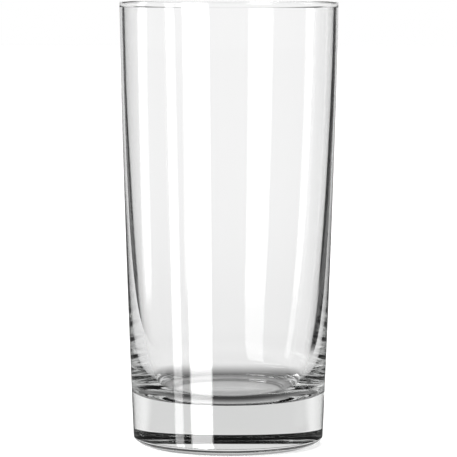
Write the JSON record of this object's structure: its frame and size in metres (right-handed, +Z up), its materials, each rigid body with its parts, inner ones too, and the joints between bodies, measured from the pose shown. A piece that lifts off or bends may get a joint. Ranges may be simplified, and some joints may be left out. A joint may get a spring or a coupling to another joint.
{
  "type": "collins glass",
  "caption": "Tall, slightly tapered clear glass tumbler with a heavy solid base, a softly bevelled heel and a fire-polished lip, for serving long iced drinks.",
  "frame": {"origin": "on the axis of the glass, at the plane that its foot stands on", "axes": "+Z up along the axis, from the foot to the mouth; X and Y are alike, because the glass is round"},
  "size_m": [0.072, 0.072, 0.146],
  "materials": {
    "clear_glass": "clear, polished, faintly grey in the thick base"
  },
  "bodies": {
    "root": {"foot": "clear_glass", "base": "clear_glass", "lower_wall": "clear_glass", "upper_wall": "clear_glass", "rim": "clear_glass"}
  },
  "joints": []
}
